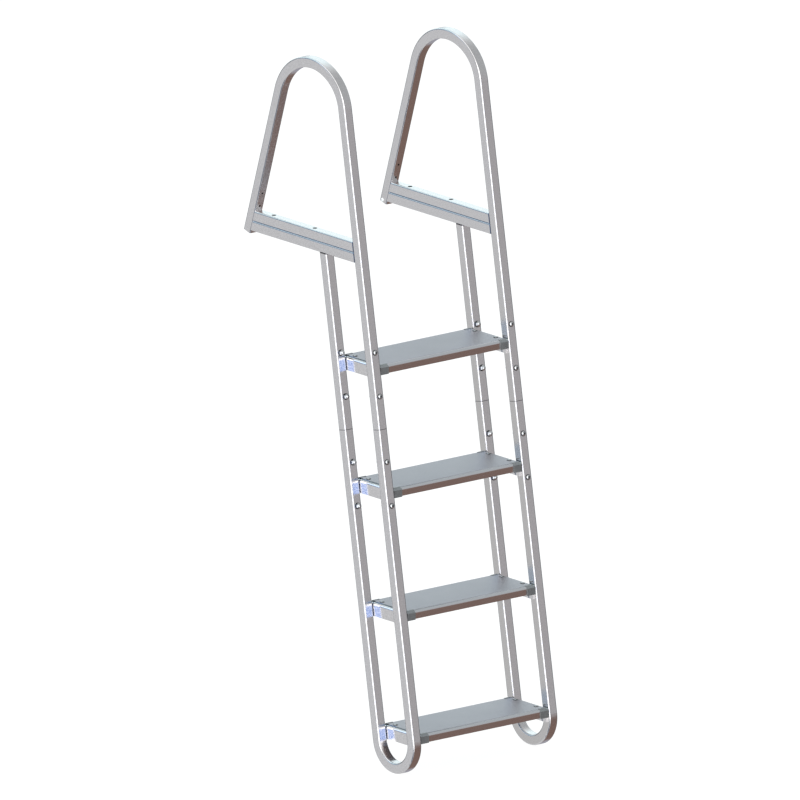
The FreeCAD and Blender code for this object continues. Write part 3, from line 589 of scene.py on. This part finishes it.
def satin_angle():
    """Satin aluminium plate with a fine speckle and two dark joint lines of painted shade."""
    material, tree, shader = new_finish("satin_angle")
    speckle = grain(tree, *SPECKLE)
    tone = mottled(tree, speckle, SATIN_TONES)
    for rail_face in (FRONT_SEAM + ACROSS_RAIL * TUBE / 2, REAR_SEAM - ACROSS_RAIL * TUBE / 2):
        joint = thin_line(tree, reach(tree, ACROSS_RAIL, rail_face), ANGLE_JOINT_SHADE_LINE)
        tone = two_tone(tree, joint, tone, ANGLE_JOINT_SHADE_COLOUR)
    tree.links.new(tone, shader.inputs["Base Color"])
    tree.links.new(spread(tree, speckle, ROUGH_RANGE, ANGLE_ROUGH), shader.inputs["Roughness"])
    shader.inputs["Metallic"].default_value = 1.0
    relief(tree, shader, speckle, *ANGLE_RELIEF)
    return material


angle_finish = satin_angle()
for step in STEPS:
    for side in SIDES:
        dress(nodes[f"step_{step}_{side}_angle"], angle_finish)


# The corner caps: dark grey moulded plastic corners over the tread's cut edges.
# They snap over the lips beside the rails.
CAP_TEXTURE, CAP_CLOUD, CAP_CLOUD_SHARE = (900.0, 3.0), (60.0, 2.0), 0.4
CAP_TONES = (0.118, 0.118, 0.12, 1.0), (0.160, 0.160, 0.162, 1.0)
# Faces that turn upwards are lighter: painted light.
CAP_TOP_LIGHT_TONE, CAP_TOP_LIGHT_SLOPES = (0.178, 0.190, 0.196, 1.0), (0.3, 0.6)
CAP_ROUGH, CAP_RELIEF = (0.26, 0.38), (0.15, 0.0002)


def moulded_cap():
    """Moulded plastic with a light spark-eroded texture, and painted light where it faces up."""
    material, tree, shader = new_finish("moulded_cap")
    texture = grain(tree, *CAP_TEXTURE)
    noise = blended(tree, CAP_CLOUD_SHARE, texture, grain(tree, *CAP_CLOUD))
    top_light = spread(tree, facing(tree)["Z"], CAP_TOP_LIGHT_SLOPES)
    tone = two_tone(tree, top_light, mottled(tree, noise, CAP_TONES), CAP_TOP_LIGHT_TONE)
    tree.links.new(tone, shader.inputs["Base Color"])
    tree.links.new(spread(tree, texture, ROUGH_RANGE, CAP_ROUGH), shader.inputs["Roughness"])
    relief(tree, shader, texture, *CAP_RELIEF)
    return material


cap_finish = moulded_cap()
for step in STEPS:
    for side in SIDES:
        for end in ("front", "rear"):
            dress(nodes[f"step_{step}_{side}_{end}_cap"], cap_finish)


# The tread screws: low pan-head screws down through tread and angle, four to a tread.
# Dull zinc-plated steel, each on a thin dark washer.
SCREW_FROM_RAIL, SCREW_FROM_EDGE = 0.0125, 0.031
SCREW_RADIUS, SCREW_HEIGHT, SCREW_SKIRT = 0.0040, 0.0026, 0.0003
SCREW_BODY, SCREW_DEPTH = 0.0023, 0.008
SCREW_WASHER, SCREW_WASHER_THICKNESS = 0.0060, 0.0007
SCREW_WASHER_BREAK, SCREW_WASHER_EDGE = 0.0003, 0.6
ZINC_MARKS, ZINC_ROUGH = (900.0, 2.0), (0.18, 0.3)
ZINC_TONES = (0.42, 0.44, 0.45, 1.0), (0.56, 0.58, 0.59, 1.0)

zinc_finish = plain_finish("zinc_screw", ZINC_MARKS, ZINC_TONES, ZINC_ROUGH, 1.0)
screw_profile = [(-SCREW_DEPTH, SCREW_BODY), (SCREW_WASHER_THICKNESS, SCREW_BODY),
                 (SCREW_WASHER_THICKNESS, SCREW_RADIUS)]
screw_profile += dome(SCREW_WASHER_THICKNESS + SCREW_SKIRT, SCREW_HEIGHT, SCREW_RADIUS)
screw_washer = washer(SCREW_WASHER, SCREW_WASHER_THICKNESS, SCREW_WASHER_EDGE,
                      SCREW_WASHER_BREAK, SCREW_BODY)
left_inner = SIDES["left"] + TUBE / 2
right_inner = SIDES["right"] - TUBE / 2
for step in STEPS:
    tread_low, tread_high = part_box(f"step_{step}_tread")
    places = [(across, along, tread_high.z)
              for across in (left_inner + SCREW_FROM_RAIL, right_inner - SCREW_FROM_RAIL)
              for along in (tread_low.y + SCREW_FROM_EDGE, tread_high.y - SCREW_FROM_EDGE)]
    screws = turned(f"step_{step}_screws", screw_profile, places, UP)
    screw_washers = turned(f"step_{step}_screw_washers", screw_washer, places, UP)
    for piece, finish in ((screws, zinc_finish), (screw_washers, washer_and_socket_shade_finish)):
        piece.data.materials.append(finish)
        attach(piece, "root")


# The toe plugs: a round plug in the cross hole at the foot of each rear leg, with a low
# domed head, pressed in from the inner side. Its white all over is a painted highlight.
PLUG_RADIUS, PLUG_HEIGHT, PLUG_SKIRT = 0.0044, 0.0016, 0.0002
PLUG_STEM, PLUG_DEPTH = 0.0022, 0.002
PLUG_BEHIND_FOOT, PLUG_OVER_FOOT = 0.00112, 0.0058
PLUG_MARKS, PLUG_ROUGH = (500.0, 2.0), (0.3, 0.4)
# The plug's white is a painted highlight.
PLUG_HIGHLIGHT_TONES = (0.92, 0.92, 0.92, 1.0), (0.97, 0.97, 0.97, 1.0)

plug_highlight_finish = plain_finish("white_plug_highlight", PLUG_MARKS, PLUG_HIGHLIGHT_TONES, PLUG_ROUGH, 0.0)
plug_profile = [(-PLUG_DEPTH, PLUG_STEM), (0.0, PLUG_STEM), (0.0, PLUG_RADIUS)]
plug_profile += dome(PLUG_SKIRT, PLUG_HEIGHT, PLUG_RADIUS)
for side, across in SIDES.items():
    inward = 1.0 if side == "left" else -1.0
    place = LEG_FOOT + np.array((across + inward * TUBE / 2, PLUG_BEHIND_FOOT, PLUG_OVER_FOOT))
    plug = turned(f"{side}_toe_plug", plug_profile, [place], (inward, 0, 0))
    plug.data.materials.append(plug_highlight_finish)
    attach(plug, "root")


# The floor: a plain white sheet level with the underside of the lower loops.
# The camera sees it as white as the room, with a faint contact shadow, and metal doesn't
# mirror it. It is a stage piece and no part of the ladder.
FLOOR_HALF = 20.0
FLOOR_TONE, FLOOR_ROUGH = (0.8, 0.8, 0.8, 1.0), 0.9
FLOOR_GLOW, FLOOR_SHADOW_TONE = 0.94, (0.14, 0.14, 0.14, 1.0)

floor_mesh = bpy.data.meshes.new("floor")
corners = np.array(((-1, -1), (1, -1), (1, 1), (-1, 1)), float) * FLOOR_HALF
floor_mesh.from_pydata([(x, y, low.z) for x, y in corners.tolist()], [], [(0, 1, 2, 3)])
floor = bpy.data.objects.new("floor", floor_mesh)
bpy.context.scene.collection.objects.link(floor)
floor.visible_glossy = False
material, tree, shader = new_finish("white_floor")
shader.inputs["Base Color"].default_value = FLOOR_TONE
shader.inputs["Roughness"].default_value = FLOOR_ROUGH
glow = tree.nodes.new("ShaderNodeEmission")
glow.inputs["Strength"].default_value = FLOOR_GLOW
soft = tree.nodes.new("ShaderNodeBsdfDiffuse")
soft.inputs["Color"].default_value = FLOOR_SHADOW_TONE
white_sweep = tree.nodes.new("ShaderNodeAddShader")
tree.links.new(glow.outputs[0], white_sweep.inputs[0])
tree.links.new(soft.outputs[0], white_sweep.inputs[1])
ray = tree.nodes.new("ShaderNodeLightPath")
choose = tree.nodes.new("ShaderNodeMixShader")
tree.links.new(ray.outputs["Is Camera Ray"], choose.inputs["Fac"])
tree.links.new(shader.outputs[0], choose.inputs[1])
tree.links.new(white_sweep.outputs[0], choose.inputs[2])
tree.links.new(choose.outputs[0], tree.nodes["Material Output"].inputs["Surface"])
floor_mesh.materials.append(material)
floor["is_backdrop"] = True


# The camera: a level long-lens view from the water side, left of the ladder.
# Its lens is a parallel one, because the ladder's edges stay parallel in the picture.
CAMERA_TURN, CAMERA_RISE = math.radians(-39.4), math.radians(14.9)
VIEW_CENTRE = np.array((0.20935, -0.14027, -0.3943))
VIEW_WIDTH, CAMERA_DISTANCE = 1.901, 5.0

towards_camera = np.array((math.sin(CAMERA_TURN) * math.cos(CAMERA_RISE),
                           -math.cos(CAMERA_TURN) * math.cos(CAMERA_RISE), math.sin(CAMERA_RISE)))
lens = bpy.data.cameras.new("camera")
lens.type = "ORTHO"
lens.ortho_scale = VIEW_WIDTH
camera = bpy.data.objects.new("camera", lens)
camera.location = tuple(VIEW_CENTRE + towards_camera * CAMERA_DISTANCE)
camera.rotation_euler = (math.pi / 2 - CAMERA_RISE, 0.0, CAMERA_TURN)
bpy.context.scene.collection.objects.link(camera)
bpy.context.scene.camera = camera
bpy.context.scene.view_settings.view_transform = "Standard"


# The studio: white behind the object, and soft cards all round that the metal mirrors.
# A card is a patch of the sky dome: a direction, the angles in degrees at which it is full
# and gone, and its colour. The colours were matched to the photograph, and metal shows the
# white only between the cards. A large soft lamp overhead shapes the plain surfaces.
WHITE = (1.0, 1.0, 1.0, 1.0)
SOFT_LOW, SOFT_HIGH = (0.59, 0.60, 0.612, 1.0), (1.02, 1.13, 1.15, 1.0)
HORIZON = (-0.12, 0.2)
CARDS = [
    ((0.0, 0.0, -1.0), (90, 98), (0.59, 0.60, 0.612)),           # the ground half of the room
    ((0.61, 0.75, 0.26), (26, 50), (0.96, 1.10, 1.13)),          # behind: light on the bars' tops
    ((0.03, -0.97, 0.24), (18, 34), (0.50, 0.50, 0.51)),         # in front: grey
    ((-0.68, -0.73, -0.05), (31, 42), (2.2, 2.2, 2.2)),          # left: white on rounded corners
    ((0.61, -0.79, 0.00), (22, 36), (0.437, 0.418, 0.432)),      # right: grey on the rails' fronts
    ((0.60, -0.40, 0.69), (22, 56), (0.41, 0.425, 0.435)),       # right, high: grey
    ((0.62, -0.35, -0.70), (37.0, 46.5), (0.20, 0.135, 0.115)),  # right, low: brown on the lips
    ((0.70, 0.62, -0.38), (18, 30), (0.35, 0.35, 0.40)),         # right, behind, low: grey
    ((0.88, -0.43, -0.18), (14, 23), (0.03, 0.04, 0.05)),        # right: dark
    ((0.15, -0.99, 0.0), (7, 12), (0.05, 0.05, 0.055)),          # in front: dark
    ((-0.22, 0.97, -0.08), (12, 21), (0.08, 0.08, 0.09)),        # behind: dark
    ((-0.64, -0.45, -0.63), (24, 33), (0.17, 0.19, 0.235)),      # left, low: dull blue
    ((-0.62, 0.68, 0.40), (16, 27), (1.3, 1.55, 1.85)),          # left, behind: bright blue
    ((-0.26, 0.75, 0.61), (14, 30), (0.71, 0.94, 1.01)),         # behind, high: light blue
    ((-0.63, 0.77, 0.03), (5, 10), (0.10, 0.18, 0.38)),          # left, behind: dark blue
    ((-0.613, -0.79, 0.008), (7, 10), (0.33, 0.52, 1.04)),       # left: blue on the side angles
]
KEY_PLACE, KEY_WIDTH, KEY_POWER = np.array((-0.9, -1.2, 4.0)), 1.6, 95.0

world = bpy.data.worlds.new("studio")
bpy.context.scene.world = world
world.use_nodes = True
tree = world.node_tree
look = tree.nodes.new("ShaderNodeTexCoord")
split = tree.nodes.new("ShaderNodeSeparateXYZ")
tree.links.new(look.outputs["Generated"], split.inputs["Vector"])
path = tree.nodes.new("ShaderNodeLightPath")
straight = arithmetic(tree, "MAXIMUM", path.outputs["Is Camera Ray"],
                      path.outputs["Is Transmission Ray"])
seen = arithmetic(tree, "MAXIMUM", straight, path.outputs["Is Glossy Ray"])
soft_light = two_tone(tree, spread(tree, split.outputs["Z"], HORIZON), SOFT_LOW, SOFT_HIGH)
room = two_tone(tree, seen, soft_light, WHITE)
around = arithmetic(tree, "SUBTRACT", 1.0, straight)
for towards, (full, gone), colour in CARDS:
    dot = tree.nodes.new("ShaderNodeVectorMath")
    dot.operation = "DOT_PRODUCT"
    dot.inputs[1].default_value = tuple(np.array(towards) / np.linalg.norm(towards))
    tree.links.new(look.outputs["Generated"], dot.inputs[0])
    edge = math.cos(math.radians(gone)), math.cos(math.radians(full))
    share = times(tree, spread(tree, dot.outputs["Value"], edge), around)
    room = two_tone(tree, share, room, (*colour, 1.0))
tree.links.new(room, tree.nodes["Background"].inputs["Color"])

key = bpy.data.lights.new("key", "AREA")
key.shape = "DISK"
key.size = KEY_WIDTH
key.energy = KEY_POWER
key_lamp = bpy.data.objects.new("key", key)
key_lamp.location = tuple(KEY_PLACE)
key_aim = VIEW_CENTRE - KEY_PLACE
key_lamp.rotation_euler = (math.acos(-key_aim[2] / np.linalg.norm(key_aim)), 0.0,
                           math.atan2(key_aim[1], key_aim[0]) - math.pi / 2)
key_lamp.visible_glossy = False
bpy.context.scene.collection.objects.link(key_lamp)

low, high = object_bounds()
size["scene_low"], size["scene_high"] = list(low), list(high)
